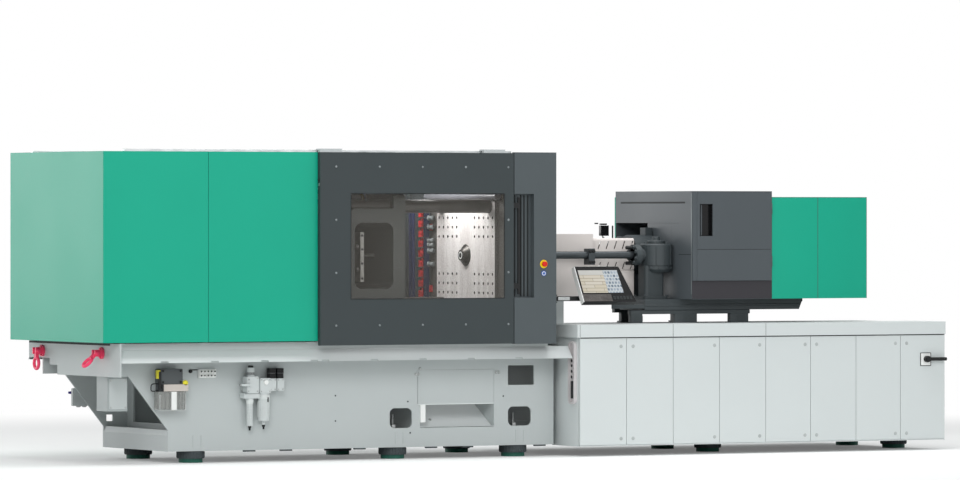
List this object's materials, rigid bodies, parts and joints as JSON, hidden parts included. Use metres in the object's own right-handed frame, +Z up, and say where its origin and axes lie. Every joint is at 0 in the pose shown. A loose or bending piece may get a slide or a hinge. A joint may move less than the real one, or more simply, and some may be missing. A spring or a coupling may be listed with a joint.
{
  "type": "injection moulding machine",
  "caption": "Horizontal injection moulding machine: covered clamping unit with sliding guard door and window, platens, injection unit on a carriage, control cabinet and operator panel.",
  "frame": {"origin": "on the floor under the middle of the machine's outer box", "axes": "+X along the machine from the clamping end to the injection end, +Y to the back, +Z up; the operator stands on the -Y side"},
  "size_m": [7.0939, 1.734, 2.2723],
  "materials": {
    "base_grey": "satin",
    "sheet_grey": "satin",
    "ledge_grey": "satin",
    "foot_rubber": "satin",
    "cover_green": "satin",
    "frame_dark": "satin",
    "guard_grey": "satin",
    "rail_steel": "satin",
    "door_grey": "satin",
    "window": "satin",
    "black_plastic": "satin",
    "platen_steel": "satin",
    "casting_grey": "satin",
    "dark_steel": "satin",
    "bright_steel": "satin",
    "manifold_red": "satin",
    "cabinet_grey": "satin",
    "guard_light": "satin",
    "unit_dark": "satin",
    "clear_plastic": "satin",
    "unit_light": "satin",
    "eye_red": "satin",
    "carriage_dark": "satin",
    "hood_grey": "satin",
    "panel_black": "satin",
    "stop_red": "satin",
    "button_blue": "satin"
  },
  "bodies": {
    "machine": {"base_frame": "base_grey", "parts_chute": "sheet_grey", "side_ledges": "ledge_grey", "machine_feet": "foot_rubber", "clamp_covers": "cover_green", "clamp_cover_end": "cover_green", "guard_frame": "frame_dark", "post_panels": "guard_grey", "door_rails": "rail_steel", "fixed_platen": "platen_steel", "nozzle_cone": "dark_steel", "end_platen": "casting_grey", "tie_bars": "bright_steel", "water_manifold": "manifold_red", "injection_bed": "base_grey", "cabinet_frame": "cabinet_grey", "cabinet_top_cover": "cabinet_grey", "cable_guard": "black_plastic", "injection_columns": "dark_steel", "injection_slideway": "casting_grey", "purge_guard": "guard_light", "lubrication_unit": "unit_dark", "oil_reservoir": "clear_plastic", "air_service_unit": "unit_light", "service_box": "sheet_grey", "lifting_eye_sockets": "eye_red"},
    "guard_door": {"guard_door_panel": "door_grey", "guard_door_window": "window", "guard_door_handle": "black_plastic"},
    "rear_door": {"rear_door_panel": "door_grey"},
    "clamp_platen": {"moving_platen": "casting_grey", "clamp_ram": "bright_steel", "platen_cylinder": "bright_steel"},
    "ejector": {"ejector_plate": "bright_steel"},
    "carriage": {"carriage_base": "carriage_dark", "injection_housing": "carriage_dark", "barrel": "bright_steel", "barrel_guard": "guard_light", "injection_cover": "hood_grey", "injection_rear_cover": "cover_green"},
    "yoke": {"injection_yoke": "casting_grey"},
    "screw": {"plasticising_screw": "bright_steel"},
    "hood_door": {"injection_door": "hood_grey"},
    "cabinet_door_1_leaf": {"cabinet_door_1": "cabinet_grey"},
    "cabinet_door_2_leaf": {"cabinet_door_2": "cabinet_grey"},
    "cabinet_door_3_leaf": {"cabinet_door_3": "cabinet_grey"},
    "cabinet_door_4_leaf": {"cabinet_door_4": "cabinet_grey"},
    "cabinet_door_5_leaf": {"cabinet_door_5": "cabinet_grey"},
    "cabinet_door_6_leaf": {"cabinet_door_6": "cabinet_grey"},
    "cabinet_door_7_leaf": {"cabinet_door_7": "cabinet_grey"},
    "cabinet_door_8_leaf": {"cabinet_door_8": "cabinet_grey"},
    "arm": {"panel_arm": "black_plastic"},
    "operator_panel": {"control_panel": "panel_black"},
    "stop_button": {"e_stop_button": "stop_red"},
    "start_button": {"push_button": "button_blue"},
    "main_switch": {"main_switch_knob": "black_plastic"},
    "regulator": {"regulator_knob": "unit_light"},
    "shutoff": {"shutoff_lever": "unit_light"},
    "eye_ring_1": {"lifting_ring_1": "eye_red"},
    "eye_ring_2": {"lifting_ring_2": "eye_red"}
  },
  "joints": [
    {"name": "guard_door_slide", "type": "slide", "parent": "machine", "child": "guard_door", "axis": [-1, 0, 0], "range_m": [0, 1.45]},
    {"name": "rear_door_slide", "type": "slide", "parent": "machine", "child": "rear_door", "axis": [-1, 0, 0], "range_m": [0, 1.45]},
    {"name": "platen_slide", "type": "slide", "parent": "machine", "child": "clamp_platen", "axis": [1, 0, 0], "range_m": [-0.15, 0.4]},
    {"name": "ejector_stroke", "type": "slide", "parent": "clamp_platen", "child": "ejector", "axis": [1, 0, 0], "range_m": [0, 0.175]},
    {"name": "carriage_slide", "type": "slide", "parent": "machine", "child": "carriage", "axis": [1, 0, 0], "range_m": [0, 0.45]},
    {"name": "injection_stroke", "type": "slide", "parent": "carriage", "child": "yoke", "axis": [1, 0, 0], "range_m": [0, 0.3]},
    {"name": "screw_turn", "type": "hinge", "parent": "yoke", "child": "screw", "pos_m": [1.5305, 0, 1.49], "axis": [1, 0, 0], "continuous": true},
    {"name": "hood_door_hinge", "type": "hinge", "parent": "carriage", "child": "hood_door", "pos_m": [2.1245, -0.626, 1.63], "axis": [0, 0, 1], "range_deg": [0, 100]},
    {"name": "cabinet_door_1_hinge", "type": "hinge", "parent": "machine", "child": "cabinet_door_1_leaf", "pos_m": [0.3425, -0.846, 0.48], "axis": [0, 0, -1], "range_deg": [0, 90]},
    {"name": "cabinet_door_2_hinge", "type": "hinge", "parent": "machine", "child": "cabinet_door_2_leaf", "pos_m": [1.1245, -0.846, 0.48], "axis": [0, 0, 1], "range_deg": [0, 90]},
    {"name": "cabinet_door_3_hinge", "type": "hinge", "parent": "machine", "child": "cabinet_door_3_leaf", "pos_m": [1.1405, -0.846, 0.48], "axis": [0, 0, -1], "range_deg": [0, 90]},
    {"name": "cabinet_door_4_hinge", "type": "hinge", "parent": "machine", "child": "cabinet_door_4_leaf", "pos_m": [1.5415, -0.846, 0.48], "axis": [0, 0, -1], "range_deg": [0, 90]},
    {"name": "cabinet_door_5_hinge", "type": "hinge", "parent": "machine", "child": "cabinet_door_5_leaf", "pos_m": [1.9455, -0.846, 0.48], "axis": [0, 0, -1], "range_deg": [0, 90]},
    {"name": "cabinet_door_6_hinge", "type": "hinge", "parent": "machine", "child": "cabinet_door_6_leaf", "pos_m": [2.7275, -0.846, 0.48], "axis": [0, 0, 1], "range_deg": [0, 90]},
    {"name": "cabinet_door_7_hinge", "type": "hinge", "parent": "machine", "child": "cabinet_door_7_leaf", "pos_m": [2.7435, -0.846, 0.48], "axis": [0, 0, -1], "range_deg": [0, 90]},
    {"name": "cabinet_door_8_hinge", "type": "hinge", "parent": "machine", "child": "cabinet_door_8_leaf", "pos_m": [3.5245, -0.846, 0.48], "axis": [0, 0, 1], "range_deg": [0, 90]},
    {"name": "arm_swivel", "type": "hinge", "parent": "machine", "child": "arm", "pos_m": [0.1805, -0.7, 1.17], "axis": [0, 0, -1], "range_deg": [-10, 80]},
    {"name": "panel_tilt", "type": "hinge", "parent": "arm", "child": "operator_panel", "pos_m": [0.5905, -0.7, 1.17], "axis": [1, 0, 0], "range_deg": [-15, 15]},
    {"name": "stop_press", "type": "slide", "parent": "machine", "child": "stop_button", "axis": [0, 1, 0], "range_m": [0, 0.005], "stiffness_N_per_m": 800},
    {"name": "start_press", "type": "slide", "parent": "machine", "child": "start_button", "axis": [0, 1, 0], "range_m": [0, 0.003], "stiffness_N_per_m": 500},
    {"name": "main_switch_turn", "type": "hinge", "parent": "cabinet_door_8_leaf", "child": "main_switch", "pos_m": [3.3635, -0.87, 0.693], "axis": [0, 1, 0], "range_deg": [0, 90]},
    {"name": "regulator_turn", "type": "hinge", "parent": "machine", "child": "regulator", "pos_m": [-2.2635, -0.6, 0.65], "axis": [0, 0, 1], "range_deg": [-180, 180]},
    {"name": "shutoff_turn", "type": "hinge", "parent": "machine", "child": "shutoff", "pos_m": [-2.2895, -0.65, 0.56], "axis": [0, 1, 0], "range_deg": [0, 90]},
    {"name": "eye_ring_1_swing", "type": "hinge", "parent": "machine", "child": "eye_ring_1", "pos_m": [-3.4535, 0.52, 0.8], "axis": [0, 1, 0], "range_deg": [-10, 100]},
    {"name": "eye_ring_2_swing", "type": "hinge", "parent": "machine", "child": "eye_ring_2", "pos_m": [-3.4535, -0.5, 0.8], "axis": [0, 1, 0], "range_deg": [-55, 55]}
  ]
}
